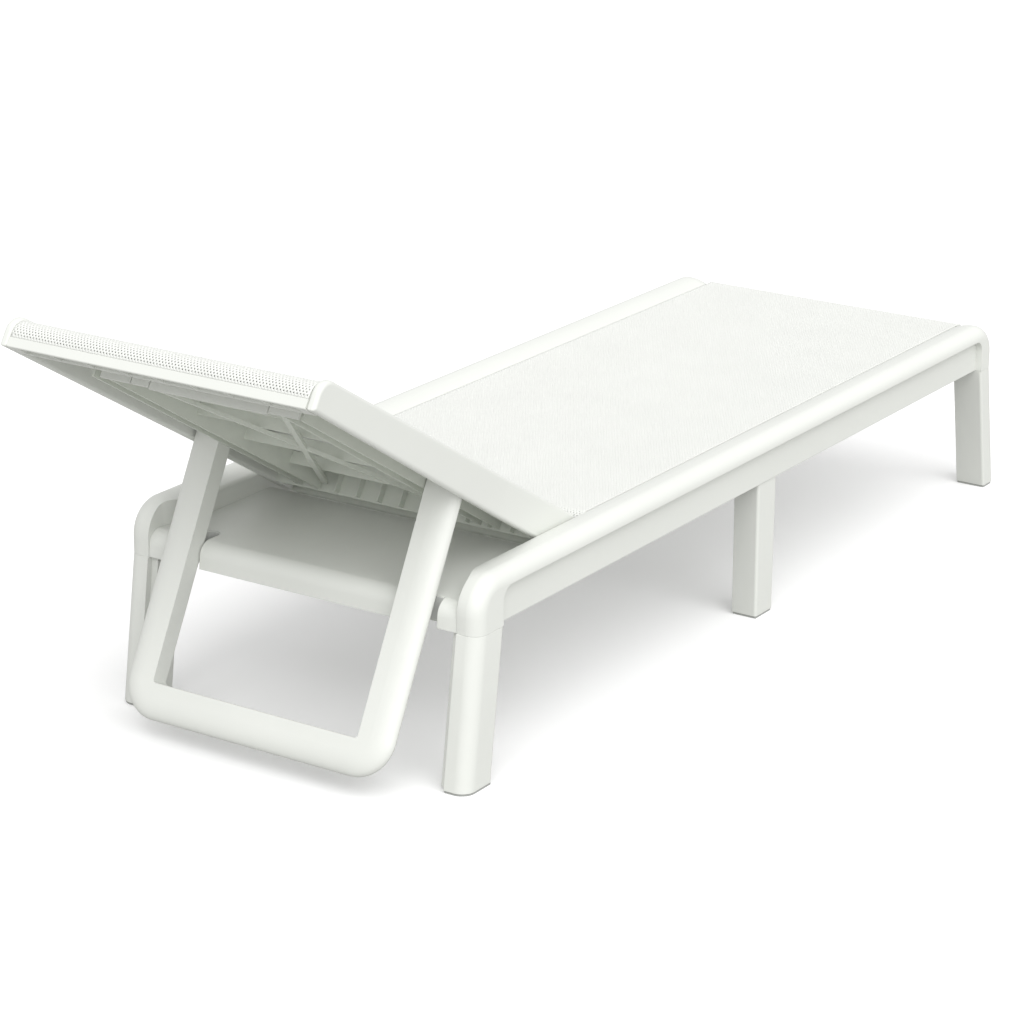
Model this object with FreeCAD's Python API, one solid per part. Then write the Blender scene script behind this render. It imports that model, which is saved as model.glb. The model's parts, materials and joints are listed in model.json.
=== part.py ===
import FreeCAD, Part
import math
import os

# Reclining sun lounger, millimetres.  +X runs to the foot end, +Z is up, and
# "left" is +Y, the left hand of a person lying with the feet towards +X.
# Shapes are drawn with x = 0 midway between the head and foot feet; export()
# moves them so that the origin lies on the ground under the middle of the
# whole lounger with its backrest at the rest angle.

# ---------------------------------------------------------------- driving dimensions
feet_length = 1906.0          # over the outer faces of the head and foot legs, on the ground
full_width = 700.0            # over the two side rails
crown_height = 346.0          # top of the side rails
rail_depth = 90.0             # crown of a rail down to the leg seam
rail_width = 66.0             # outer face of a rail to its inner wall
bead_depth = 26.5             # rounded bead, crown down to the step line
bead_round = 24.0             # rounding of its outer edge
bead_inner_round = 5.0        # width of the rounding at the sling
web_inset = 13.0              # web below the bead, set back from the outer face
corner_radius = 60.0          # where a rail turns down into its end legs
step_radius = 24.0            # the same corner along the step line
sling_drop = 10.4             # seat sling below the crown
wall = 4.5                    # moulded wall
rib = 4.0                     # moulded stiffening rib
pad_height = 4.0              # foot pad under every leg

head_leg_length = 70.7        # along X
head_leg_splay = 34.4         # outward run of the head legs, seam to ground
foot_leg_length = 53.9
foot_leg_splay = 47.8
mid_leg_length = 62.0

hinge_x = -600.3              # backrest axis
hinge_z = 318.0
rest_angle = 31.43            # backrest above level, as it stands at rest
back_reach = 765.6            # axis to the head face
back_tail = 52.0              # axis to the lower end, on the seat side
back_below = 17.0             # underside of the backrest, below the axis
back_above_axis = 49.0        # top of the side members at the axis
back_above_head = 35.9        # and at the head face
back_half_width = 281.0       # 3 mm inside the rails
back_side_width = 16.0        # side member
back_roll = 28.0              # radius of the rolled head end

bail_inner_half = 204.4       # inside of the bail arms
bail_arm_width = 60.0
bail_depth = 35.0
bail_pivot_reach = 274.2      # pivot from the hinge axis, along the backrest
bail_pivot_rise = 4.9         # and square to it
bail_length = 481.0
bail_lean = 27.05             # arms from upright at rest
bail_flat = 24.0              # flat part of its section; the rest is rounded to the outside

pin_radius = 6.0
running_fit = 0.05            # radial clearance of a pin in its bush
bush_wall = 3.5
screw_radius = 3.0
screw_head_radius = 6.0
sling_thickness = 2.0
bar_radius = 15.0             # sling crossbars

head_leg_width = 42.2         # across Y
mid_leg_width = 48.9
foot_leg_width = 59.7
flange_width = 12.0           # set-back strip on the inside of a head leg
flange_setback = 12.0
head_post_inset = 8.0         # socket kept clear of the rounded outer corner
foot_post_inset = 8.0
head_leg_flare = 1.3          # outward run of the head legs across Y, and
foot_leg_tuck = 2.3           # inward run of the foot legs
mid_leg_inset = 2.0           # mid legs behind the web face
mid_leg_taper = 2.0
post_edge = 5.0               # small rounding of leg edges
pad_inset = 1.2
socket_depth = 40.0
bay_length = 150.0            # hollow bays under the rails
hinge_boss_half = 22.0
groove_size = 8.0             # groove in the rail that holds the edge rod of the sling
groove_drop = 9.0             # its middle, below the sling
groove_stop = 20.0            # it stops this far short of each sling crossbar
socket_margin = 8.0           # material between a leg socket and the walls of the rail
socket_relief = 3.0           # and between a socket and the ends of its leg
spigot_gap = 0.2
bush_length = 14.0            # hinge bush in the rail
arm_bush_length = 54.0        # bush through a bail arm
relief_start = -882.0         # inside of a rail: in line with the head leg up to here,
relief_end = -826.0           # and from here on at its full width
relief_round = 50.0
head_screw_inset = 25.0       # screws of a head leg, behind the head face
head_screw_rises = (11.0, 29.0)

skirt_lean = 4.0              # deck skirt, out of upright
deck_back_round = 5.0
deck_rib_count = 3
deck_rib_places = (115.0, 210.0)          # cross ribs behind the deck front
deck_screw_places = (105.0, 190.0, 260.0)  # screws behind the deck front
deck_gap = 0.2
liner_inset = 2.0
liner_start = 20.0            # liner, behind the deck front
liner_thickness = 1.5
notch_depth = 66.0            # slot at the inner side of a notch
slot_width = 28.0
recess_depth = 25.0           # recess over the whole width of an arm
seam_chamfer = 0.9            # around the top of a leg
shelf_start = 25.0            # shelf across the bottom of a notch, behind the deck front
shelf_thickness = 3.0
tube_wall = 2.0
fabric_gap = 0.2
edge_gap = 0.6                # seat sling to the inner wall of the rail
hem = 40.0
edge_rod_radius = 3.4
mid_beam_width = 60.0
mid_beam_height = 34.0
mid_beam_bays = 6
head_bar_reach = 95.0         # hinge axis to the first sling crossbar
foot_bar_inset = 28.0
screw_head_height = 3.5
leg_screw_length = 22.0
deck_screw_length = 14.0
plug_length = 24.0
plug_seat = 3.0

head_half_width = 298.5       # backrest over its side members at the head face
flare_start = 180.0           # reach at which the side members start to flare
side_edge_round = 6.0
hub_half = 16.0               # thickened hinge hub of a side member
hub_width = 10.0
hub_rise = 22.0
pin_seat = 10.0               # bail pivot pin into the side member
sling_inset = 4.0             # backrest mesh below the side members
sling_recess = 1.0            # mesh behind the head face
lip_top = -1.0                # head border, above the hinge axis line
head_rail_depth = 34.0
head_back_wall = 2.5
head_formers = 8              # thin formers that carry the rolled mesh
lip_round = 1.0
tail_hem_rise = 8.0           # lower edge of the mesh at the seat end
head_wall_reach = 655.0
head_wall_top = 24.0
head_wall_rise = 2.5          # its lower edge above the underside of the side members
head_wall_ends = (-201.0, -143.0, 83.0, 119.0, 180.0)   # the lengths meet at these y
head_wall_gap = 2.0
head_tie_height = 14.0
lower_rail_depth = 22.0
lower_rail_rise = 0.5
lower_rail_round = 9.0
hinge_wall_reach = 20.0
hinge_wall_ribs = 11
hinge_rib_depth = 14.0
hinge_rib_thickness = 3.0
channel_width = 40.0
channel_rise = 3.0
inner_rib_reaches = (140.0, 280.0, 420.0, 540.0)   # ribs between the channels
outer_rib_reaches = (90.0, 180.0)                  # ribs from a channel to its side member
strap_reaches = (400.0, 520.0, 640.0)              # thin straps there, over the bail when it is down
strap_low = 25.5
strap_top = 29.5
strap_width = 12.0
cross_rib_low = 2.0
outer_rib_low = 10.0
brace_low = -4.0
brace_width = 12.0
under_sling = 25.0            # tops of the ribs, clear of a loaded mesh
bail_inner_corner = 6.0

# ---------------------------------------------------------------- derived positions
half_width = full_width / 2
inner_wall = half_width - rail_width
web_face = half_width - web_inset
seam_z = crown_height - rail_depth
step_z = crown_height - bead_depth
sling_z = crown_height - sling_drop
head_foot_x = -feet_length / 2
foot_foot_x = feet_length / 2
head_seam_x = head_foot_x + head_leg_splay
foot_seam_x = foot_foot_x - foot_leg_splay
head_leg_inner = head_seam_x + head_leg_length
foot_leg_inner = foot_seam_x - foot_leg_length
post_inner = half_width - head_leg_width
mid_leg_x = 20.0
pocket_top = sling_z - wall
socket_y0 = inner_wall + wall + socket_margin
socket_y1 = web_face - wall - socket_margin
bush_end = inner_wall + bush_length
groove_z = sling_z - groove_drop

rest = math.radians(rest_angle)
head_corner_x = hinge_x - back_reach * math.cos(rest) - back_below * math.sin(rest)
origin_x = (head_corner_x + foot_foot_x) / 2

pivot_x = hinge_x - bail_pivot_reach * math.cos(rest) + bail_pivot_rise * math.sin(rest)
pivot_z = hinge_z + bail_pivot_reach * math.sin(rest) + bail_pivot_rise * math.cos(rest)
arm_outer_half = bail_inner_half + bail_arm_width
member_inner = back_half_width - back_side_width
head_member_inner = head_half_width - back_side_width
channel_outer = bail_inner_half - 2.0

head_bar_x = hinge_x + head_bar_reach
foot_bar_x = foot_seam_x - foot_bar_inset
groove_start = head_bar_x + groove_stop
groove_end = foot_bar_x - groove_stop
seat_bar_z = sling_z - sling_thickness - fabric_gap - bar_radius
deck_top = 300.0
deck_front = head_seam_x + 2.7
deck_back = hinge_x - 13.7
deck_roll = 26.0
deck_end = inner_wall
deck_screw_z = (seam_z + deck_top) / 2
notch_inner = bail_inner_half - 2.3
notch_outer = arm_outer_half + 5.0

os.makedirs("parts", exist_ok=True)


# ---------------------------------------------------------------- helpers
def box(x0, x1, y0, y1, z0, z1):
    """A block between two corners."""
    corner = FreeCAD.Vector(x0, y0, z0)
    return Part.makeBox(x1 - x0, y1 - y0, z1 - z0, corner)


def rod(x, z, y0, y1, radius):
    """A round bar along Y."""
    return Part.makeCylinder(radius, y1 - y0, FreeCAD.Vector(x, y0, z), FreeCAD.Vector(0, 1, 0))


def ring(x, z, y0, y1, outer, inner):
    """A bush along Y."""
    return rod(x, z, y0, y1, outer).cut(rod(x, z, y0 - 1, y1 + 1, inner))


def slab(corners, y0, y1):
    """An outline of (x, z) or (x, z, radius) corners, carried from y0 to y1."""
    edges = []
    ends = []
    for k, corner in enumerate(corners):
        radius = corner[2] if len(corner) > 2 else 0
        here = FreeCAD.Vector(corner[0], y0, corner[1])
        before = FreeCAD.Vector(corners[k - 1][0], y0, corners[k - 1][1]) - here
        after_corner = corners[(k + 1) % len(corners)]
        after = FreeCAD.Vector(after_corner[0], y0, after_corner[1]) - here
        if radius == 0:
            ends.append((here, here))
            continue
        before.normalize()
        after.normalize()
        half = before.getAngle(after) / 2
        start = here + before * (radius / math.tan(half))
        end = here + after * (radius / math.tan(half))
        middle = (before + after).normalize() * (radius / math.sin(half) - radius) + here
        edges.append(Part.Arc(start, middle, end).toShape())
        ends.append((start, end))
    for k, (start, end) in enumerate(ends):
        arrival = ends[(k + 1) % len(ends)][0]
        if end.distanceToPoint(arrival) > 1e-6:
            edges.append(Part.makeLine(end, arrival))
    face = Part.Face(Part.Wire(Part.__sortEdges__(edges)))
    return face.extrude(FreeCAD.Vector(0, y1 - y0, 0))


def other_side(shape):
    """The same shape on the other side of the lounger."""
    return shape.mirror(FreeCAD.Vector(0, 0, 0), FreeCAD.Vector(0, 1, 0))


def both_sides(shape):
    return [shape, other_side(shape)]


def rounded(shape, radius, wanted):
    """Round the edges for which wanted(edge) is true."""
    edges = [edge for edge in shape.Edges if wanted(edge)]
    return shape.makeFillet(radius, edges)


def export(name, *shapes):
    """Write one node; several shapes stay separate solids of the node."""
    solids = [solid for shape in shapes for solid in shape.Solids]
    node = solids[0] if len(solids) == 1 else Part.makeCompound(solids)
    node = node.translated(FreeCAD.Vector(-origin_x, 0, 0))
    node.exportStep("parts/" + name + ".step")


# ---------------------------------------------------------------- screws and plugs of the frame
def leg_sockets():
    """x and y limits of the three leg sockets in the left rail."""
    inset = wall + socket_relief
    return [(head_seam_x + inset + head_post_inset, head_leg_inner - inset,
             post_inner + wall, half_width - wall - socket_margin),
            (mid_leg_x - mid_leg_length / 2 + inset, mid_leg_x + mid_leg_length / 2 - inset,
             socket_y0, socket_y1),
            (foot_leg_inner + inset, foot_seam_x - inset - foot_post_inset, socket_y0, socket_y1)]


def inner_wall_screw(x, z, y, length):
    """Screw driven outwards: its head lies on a face at y, its shank runs on from there."""
    shank = rod(x, z, y, y + length, screw_radius)
    return shank.fuse(rod(x, z, y - screw_head_height, y, screw_head_radius))


def leg_screws(socket, clamped=0.0):
    """Two screws into the spigot of a leg; clamped is the thickness they hold against the rail."""
    x0, x1, _, _ = socket
    return [inner_wall_screw(x0 + (x1 - x0) * share, seam_z + socket_depth / 2,
                             inner_wall - clamped, clamped + leg_screw_length)
            for share in (0.25, 0.75)]


def head_leg_screws():
    """Two screws, one above the other, through the end wall of the deck into the head leg."""
    return [inner_wall_screw(head_seam_x + head_screw_inset, seam_z + rise, post_inner - deck_gap - wall,
                             leg_screw_length)
            for rise in head_screw_rises]


def deck_screws():
    """Three screws through the end wall of the deck into the left rail."""
    return [inner_wall_screw(deck_front + x, deck_screw_z, deck_end - wall, deck_screw_length)
            for x in deck_screw_places]


def bar_plug(x):
    """Plug in the left end of a sling crossbar; its shoulder sits in the wall of the rail."""
    inside = rod(x, seat_bar_z, inner_wall - plug_length, inner_wall, bar_radius - tube_wall)
    return inside.fuse(rod(x, seat_bar_z, inner_wall, inner_wall + plug_seat, bar_radius - 2 * tube_wall))


head_socket, mid_socket, foot_socket = leg_sockets()
head_leg_fixed_by = head_leg_screws()
mid_leg_fixed_by = leg_screws(mid_socket, rib)        # and these the end rib of the mid crossbar
foot_leg_fixed_by = leg_screws(foot_socket)
deck_fixed_by = deck_screws()
rail_screws = head_leg_fixed_by + mid_leg_fixed_by + foot_leg_fixed_by + deck_fixed_by
bar_plugs = [bar_plug(head_bar_x), bar_plug(foot_bar_x)]


def cleared(shape, *others):
    """The shape with the room for its screws and plugs taken out."""
    for other in others:
        shape = shape.cut(other)
    return shape


def corner_relief(gap=0.0):
    """What is taken off the inside of the left rail over its head leg, where the deck fills in."""
    before = head_seam_x - 5
    past = relief_end + relief_round / 2
    corners = [(before, inner_wall - 1), (past, inner_wall - 1), (past, inner_wall - gap),
               (relief_end, inner_wall - gap), (relief_start, post_inner - gap), (before, post_inner - gap)]
    points = [FreeCAD.Vector(x, y, seam_z - 1) for x, y in corners]
    prism = Part.Face(Part.makePolygon(points + points[:1])).extrude(FreeCAD.Vector(0, 0, crown_height))

    def bend(edge):
        bounds = edge.BoundBox
        at_bend = min(abs(bounds.XMin - relief_start), abs(bounds.XMin - relief_end)) < 0.01
        return bounds.ZLength > 1 and at_bend

    return rounded(prism, relief_round, bend)


# ---------------------------------------------------------------- side rails
def arch(x0, x1, z0, z1, radius, y0, y1):
    """A block whose two upper corners, seen from the side, are rounded."""
    block = box(x0, x1, y0, y1, z0, z1)

    def upper_corner(edge):
        bounds = edge.BoundBox
        upright = bounds.ZLength < 0.01 and bounds.XLength < 0.01
        return upright and abs(bounds.ZMax - z1) < 0.01

    return rounded(block, radius, upper_corner)


def bead_cutter():
    """Everything above the rounded bead, swept around the rail from seam to seam."""
    crown_y = half_width - bead_round
    slope_y = inner_wall + bead_inner_round
    slope_run = crown_y - slope_y
    slope_fall = sling_drop - 2.0
    slope_radius = slope_run ** 2 / (2 * slope_fall) + slope_fall / 2
    slope_angle = math.asin(slope_run / slope_radius)
    beyond = 4.0

    def at(y, depth):
        return FreeCAD.Vector(0, y, crown_height - depth)

    quarter = bead_round * (1 - math.sqrt(0.5))
    outer_arc = Part.Arc(at(half_width, bead_round),
                         at(half_width - quarter, quarter),
                         at(crown_y, 0))
    half_angle = slope_angle / 2
    slope_arc = Part.Arc(at(crown_y, 0),
                         at(crown_y - slope_radius * math.sin(half_angle),
                            slope_radius * (1 - math.cos(half_angle))),
                         at(slope_y, slope_fall))
    # the inner round carries on from the slope until it is upright at the inner wall
    turn_radius = bead_inner_round / (1 - math.sin(slope_angle))
    turn_depth = slope_fall + turn_radius * math.cos(slope_angle)
    middle = (slope_angle + math.pi / 2) / 2
    turn_arc = Part.Arc(at(slope_y, slope_fall),
                        at(inner_wall + turn_radius * (1 - math.sin(middle)),
                           turn_depth - turn_radius * math.cos(middle)),
                        at(inner_wall, turn_depth))
    edges = [outer_arc.toShape(), slope_arc.toShape(), turn_arc.toShape()]
    loop = [at(inner_wall, turn_depth),
            at(inner_wall - beyond, turn_depth),
            at(inner_wall - beyond, -beyond),
            at(half_width + beyond, -beyond),
            at(half_width + beyond, bead_round),
            at(half_width, bead_round)]
    edges += [Part.makeLine(a, b) for a, b in zip(loop, loop[1:])]
    profile = Part.Wire(Part.__sortEdges__(edges))

    z = crown_height
    low_z = seam_z - 10
    r = corner_radius
    diagonal = r * math.sqrt(0.5)
    head_arc = Part.Arc(FreeCAD.Vector(head_seam_x, 0, z - r),
                        FreeCAD.Vector(head_seam_x + r - diagonal, 0, z - r + diagonal),
                        FreeCAD.Vector(head_seam_x + r, 0, z)).toShape()
    foot_arc = Part.Arc(FreeCAD.Vector(foot_seam_x - r, 0, z),
                        FreeCAD.Vector(foot_seam_x - r + diagonal, 0, z - r + diagonal),
                        FreeCAD.Vector(foot_seam_x, 0, z - r)).toShape()
    path = Part.Wire([
        Part.makeLine(FreeCAD.Vector(head_seam_x, 0, low_z), FreeCAD.Vector(head_seam_x, 0, z - r)),
        head_arc,
        Part.makeLine(FreeCAD.Vector(head_seam_x + r, 0, z), FreeCAD.Vector(foot_seam_x - r, 0, z)),
        foot_arc,
        Part.makeLine(FreeCAD.Vector(foot_seam_x, 0, z - r), FreeCAD.Vector(foot_seam_x, 0, low_z))])
    # the profile is drawn at x = 0 on the crown; carry it to the start of the path
    start = profile.copy()
    start.rotate(FreeCAD.Vector(0, 0, z), FreeCAD.Vector(0, 1, 0), -90)
    start.translate(FreeCAD.Vector(head_seam_x, 0, low_z - z))
    return path.makePipeShell([start], True, False)


def rail_pocket_bays():
    """Start and end x of the hollow bays under a rail, between its stiffening ribs."""
    mid_leg_ends = (mid_leg_x - mid_leg_length / 2, mid_leg_x + mid_leg_length / 2)
    hinge_boss = (hinge_x - hinge_boss_half, hinge_x + hinge_boss_half)
    runs = [(relief_end, hinge_boss[0]), (hinge_boss[1], mid_leg_ends[0]), (mid_leg_ends[1], foot_leg_inner)]
    bays = []
    for start, end in runs:
        count = math.ceil((end - start) / bay_length)
        step = (end - start) / count
        bays += [(start + step * k + rib / 2, start + step * (k + 1) - rib / 2) for k in range(count)]
    return bays


def side_rail():
    """Moulded rail: rounded bead, set-back web, hollow underneath, a socket over every leg."""
    rail = arch(head_seam_x, foot_seam_x, seam_z, crown_height, corner_radius, inner_wall, half_width)
    rail = rail.cut(bead_cutter())
    rail = rail.cut(arch(head_leg_inner, foot_leg_inner, seam_z - 1, step_z, step_radius,
                         web_face, half_width + 1))
    rail = rail.cut(corner_relief())
    for x0, x1 in rail_pocket_bays():
        under_groove = groove_z - groove_size / 2 - wall
        rail = rail.cut(box(x0, x1, inner_wall + wall, web_face - wall, seam_z - 1, under_groove))
        rail = rail.cut(box(x0, x1, inner_wall + groove_size + wall, web_face - wall,
                            seam_z - 1, pocket_top))
    for x0, x1, y0, y1 in (head_socket, mid_socket, foot_socket):
        rail = rail.cut(box(x0, x1, y0, y1, seam_z - 1, seam_z + socket_depth))
    groove = box(groove_start, groove_end, inner_wall - 1, inner_wall + groove_size,
                 groove_z - groove_size / 2, groove_z + groove_size / 2)
    rail = cleared(rail.cut(groove), *(rail_screws + bar_plugs))
    return rail.cut(rod(hinge_x, hinge_z, inner_wall - 1, bush_end, pin_radius + running_fit + bush_wall))


rail_left = side_rail()
export("side_rail_left", rail_left)
export("side_rail_right", other_side(rail_left))


# ---------------------------------------------------------------- legs
def tapered(foot, seam):
    """A straight-sided solid between two outlines given as (x, y) corners."""
    low = Part.makePolygon([FreeCAD.Vector(x, y, pad_height) for x, y in foot + foot[:1]])
    high = Part.makePolygon([FreeCAD.Vector(x, y, seam_z) for x, y in seam + seam[:1]])
    return Part.makeLoft([low, high], True, True)


def rectangle(x0, x1, y0, y1):
    return [(x0, y0), (x1, y0), (x1, y1), (x0, y1)]


def upright_edge_near(x, y, reach=40.0):
    """Picks the long edges that meet the seam close to (x, y)."""
    def wanted(edge):
        if edge.BoundBox.ZLength < seam_z / 2:
            return False
        top = max((vertex.Point for vertex in edge.Vertexes), key=lambda point: point.z)
        return abs(top.x - x) < reach and abs(top.y - y) < 1.0
    return wanted


def eased_top(leg):
    """Chamfer the edges around the top, which leaves a fine groove at the seam."""
    top_edges = [edge for edge in leg.Edges if edge.BoundBox.ZMin > seam_z - 0.01]
    return leg.makeChamfer(seam_chamfer, top_edges)


def hollow(leg, foot, seam, rounded_corner=None):
    """Take out the middle, leaving a moulded wall and a closed top."""
    def inset(corners):
        xs = [x for x, y in corners]
        ys = [y for x, y in corners]
        return rectangle(min(xs) + wall, max(xs) - wall, min(ys) + wall, max(ys) - wall)
    core = tapered(inset(foot), inset(seam))
    if rounded_corner is not None:
        x, y = rounded_corner
        core = rounded(core, bead_round - wall, upright_edge_near(x, y - wall, 3 * wall))
    keep_top = box(-feet_length, feet_length, 0, full_width, seam_z - 2 * wall, seam_z + 1)
    return leg.cut(core.cut(keep_top))


def with_spigot(leg, socket):
    """Add the block that plugs into the socket of the rail."""
    x0, x1, y0, y1 = socket
    spigot = box(x0 + spigot_gap, x1 - spigot_gap, y0 + spigot_gap, y1 - spigot_gap,
                 seam_z - wall, seam_z + socket_depth - 2)
    return cleared(leg.fuse(spigot).removeSplitter(), *rail_screws)


def end_post(foot, seam, outer_corner, inner_corner):
    """Hollow end leg with a well rounded outer corner and a lightly rounded inner one."""
    post = tapered(foot, seam)
    post = rounded(post, bead_round, upright_edge_near(*outer_corner))
    post = rounded(post, post_edge, upright_edge_near(*inner_corner))
    return hollow(eased_top(post), foot, seam, outer_corner)


def head_leg():
    inner = post_inner
    seam = rectangle(head_seam_x, head_leg_inner, inner, half_width)
    post = end_post(head_foot, seam, (head_seam_x, half_width), (head_leg_inner, half_width))
    flange_foot = rectangle(head_foot_x + flange_setback, head_foot_x + head_leg_length,
                            inner - flange_width, inner + 1)
    flange_seam = rectangle(head_seam_x + flange_setback, head_leg_inner, inner - flange_width, inner + 1)
    post = post.fuse(tapered(flange_foot, flange_seam)).removeSplitter()
    return with_spigot(post, head_socket)


def mid_leg():
    outer = web_face - mid_leg_inset
    half = mid_leg_length / 2
    seam = rectangle(mid_leg_x - half - mid_leg_taper, mid_leg_x + half, outer - mid_leg_width, outer)
    post = tapered(mid_foot, seam)
    post = rounded(post, post_edge, upright_edge_near(mid_leg_x, outer, mid_leg_length))
    return with_spigot(hollow(eased_top(post), mid_foot, seam), mid_socket)


def foot_leg():
    seam = rectangle(foot_leg_inner, foot_seam_x, half_width - foot_leg_width, half_width)
    post = end_post(foot_foot, seam, (foot_seam_x, half_width), (foot_leg_inner, half_width))
    return with_spigot(post, foot_socket)


def foot_pad(foot, corner_round):
    """Pad in the outline of a leg's foot, a little smaller, with the same outer corner."""
    xs = [x for x, y in foot]
    ys = [y for x, y in foot]
    pad = box(min(xs) + pad_inset, max(xs) - pad_inset, min(ys) + pad_inset, max(ys) - pad_inset,
              0, pad_height)
    outer_x = max(xs, key=abs)

    def outer_corner(edge):
        bounds = edge.BoundBox
        upright = bounds.XLength < 0.01 and bounds.YLength < 0.01
        near_outer_x = abs(bounds.XMin - outer_x) < 2 * pad_inset
        return upright and near_outer_x and bounds.YMin > max(ys) - 2 * pad_inset

    return rounded(pad, corner_round, outer_corner)


# foot outlines, left side
head_foot = rectangle(head_foot_x, head_foot_x + head_leg_length,
                      half_width - head_leg_width, half_width + head_leg_flare)
mid_foot = rectangle(mid_leg_x - mid_leg_length / 2 + mid_leg_taper, mid_leg_x + mid_leg_length / 2,
                     web_face - mid_leg_inset - mid_leg_width, web_face - mid_leg_inset)
foot_foot = rectangle(foot_foot_x - foot_leg_length, foot_foot_x,
                      half_width - foot_leg_width - foot_leg_tuck, half_width - foot_leg_tuck)

for name, leg in (("leg_head", head_leg()), ("leg_mid", mid_leg()), ("leg_foot", foot_leg())):
    export(name + "_left", leg)
    export(name + "_right", other_side(leg))

pads = [foot_pad(head_foot, bead_round), foot_pad(mid_foot, post_edge), foot_pad(foot_foot, bead_round)]
export("foot_pads", *[pad for one in pads for pad in both_sides(one)])


# ---------------------------------------------------------------- head deck
def deck_outline(inset, bottom):
    """Side outline of the deck, or of its hollow when inset by the wall."""
    front = deck_front + inset
    back = deck_back - inset
    top = deck_top - inset
    return [(front, bottom), (front + skirt_lean, top, deck_roll - inset),
            (back, top, deck_back_round - inset / 2), (back, bottom)]


def deck_pockets():
    """Hollow bays under the deck; ribs and the walls of the two notches stay."""
    hollow_shape = slab(deck_outline(wall, seam_z - 1), -deck_end, deck_end)
    solid = []
    for k in range(1, deck_rib_count + 1):
        y = -notch_inner + 2 * notch_inner * k / (deck_rib_count + 1)
        solid.append(box(deck_front, deck_back, y - rib / 2, y + rib / 2, 0, deck_top))
    for place in deck_rib_places:
        x = deck_front + place
        solid.append(box(x - rib / 2, x + rib / 2, -deck_end, deck_end, 0, deck_top))
    for side in both_sides(box(deck_front - 1, deck_front + notch_depth + wall,
                               notch_inner - wall, notch_outer + wall, 0, deck_top)):
        solid.append(side)
    for side in both_sides(box(deck_front - 1, deck_back + 1, deck_end - wall, deck_end + 1, 0, deck_top)):
        solid.append(side)
    for stay in solid:
        hollow_shape = hollow_shape.cut(stay)
    return hollow_shape


def deck_shoulder():
    """End of the deck that fills the relief in the left rail, hollow underneath."""
    filled = slab(deck_outline(0, seam_z), deck_end - wall, post_inner)
    filled = filled.common(corner_relief(deck_gap).fuse(box(deck_front - 1, deck_back, deck_end - wall,
                                                            inner_wall, 0, crown_height)))
    pocket = slab(deck_outline(wall, seam_z - 1), notch_outer + wall, post_inner - deck_gap - wall)
    room = box(deck_front, relief_start - wall, 0, full_width, 0, crown_height)
    return filled, pocket.common(room)


def notch_shape(inset, z0, z1):
    """The room of the left notch: a recess as wide as the arm and a deeper slot with a round back."""
    radius = slot_width / 2
    turn_x = deck_front + notch_depth - radius
    start = deck_front - 5
    recess = box(start, deck_front + recess_depth - inset, notch_inner + inset, notch_outer - inset, z0, z1)
    slot = box(start, turn_x, notch_inner + inset, notch_inner + slot_width - inset, z0, z1)
    back = Part.makeCylinder(radius - inset, z1 - z0, FreeCAD.Vector(turn_x, notch_inner + radius, z0))
    return recess.multiFuse([slot, back]).removeSplitter()


def head_deck():
    """Cross panel at the head end with a rolled edge and a notch for each bail arm."""
    deck = slab(deck_outline(0, seam_z), -deck_end, deck_end)
    shoulder, shoulder_pocket = deck_shoulder()
    deck = deck.multiFuse(both_sides(shoulder)).removeSplitter()
    deck = cleared(deck, deck_pockets(), *both_sides(shoulder_pocket))
    notch = notch_shape(0, seam_z - 1, deck_top + 1)
    shelf = notch_shape(-0.5, seam_z, seam_z + shelf_thickness)
    shelf = shelf.cut(box(deck_front - 10, deck_front + shelf_start, 0, full_width, 0, deck_top))
    screws = [screw for one in deck_fixed_by + head_leg_fixed_by for screw in both_sides(one)]
    deck = cleared(deck, *(both_sides(notch) + screws))
    return deck.multiFuse(both_sides(shelf)).removeSplitter()


def notch_liner():
    """Thin U-shaped wear strip against the walls of a deck notch."""
    z0 = seam_z + shelf_thickness + liner_inset
    z1 = deck_top - liner_inset
    liner = notch_shape(0, z0, z1).cut(notch_shape(liner_thickness, z0 - 1, z1 + 1))
    return liner.cut(box(deck_front - 10, deck_front + liner_start, 0, full_width, z0 - 1, z1 + 1))


export("head_deck", head_deck())
export("deck_notch_liners", *both_sides(notch_liner()))


# ---------------------------------------------------------------- seat: crossbars, sling, edge rods
def crossbar_tube(x):
    """Tube between the rails that holds one end of the seat sling."""
    return ring(x, seat_bar_z, -inner_wall, inner_wall, bar_radius, bar_radius - tube_wall)


def mid_crossbar():
    """Channel between the mid legs that keeps the rails apart, well below the sling."""
    half = mid_beam_width / 2
    top = seam_z + mid_beam_height
    beam = box(mid_leg_x - half, mid_leg_x + half, -inner_wall, inner_wall, seam_z, top)
    beam = rounded(beam, post_edge, lambda e: e.BoundBox.ZMin > top - 0.01 and e.BoundBox.YLength > 1)
    pitch = (2 * inner_wall - rib) / mid_beam_bays
    for k in range(mid_beam_bays):
        y0 = -inner_wall + rib + pitch * k
        beam = beam.cut(box(mid_leg_x - half + wall, mid_leg_x + half - wall, y0, y0 + pitch - rib,
                            seam_z - 1, top - wall))
    screws = [screw for one in mid_leg_fixed_by for screw in both_sides(one)]
    return cleared(beam, *screws)


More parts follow.
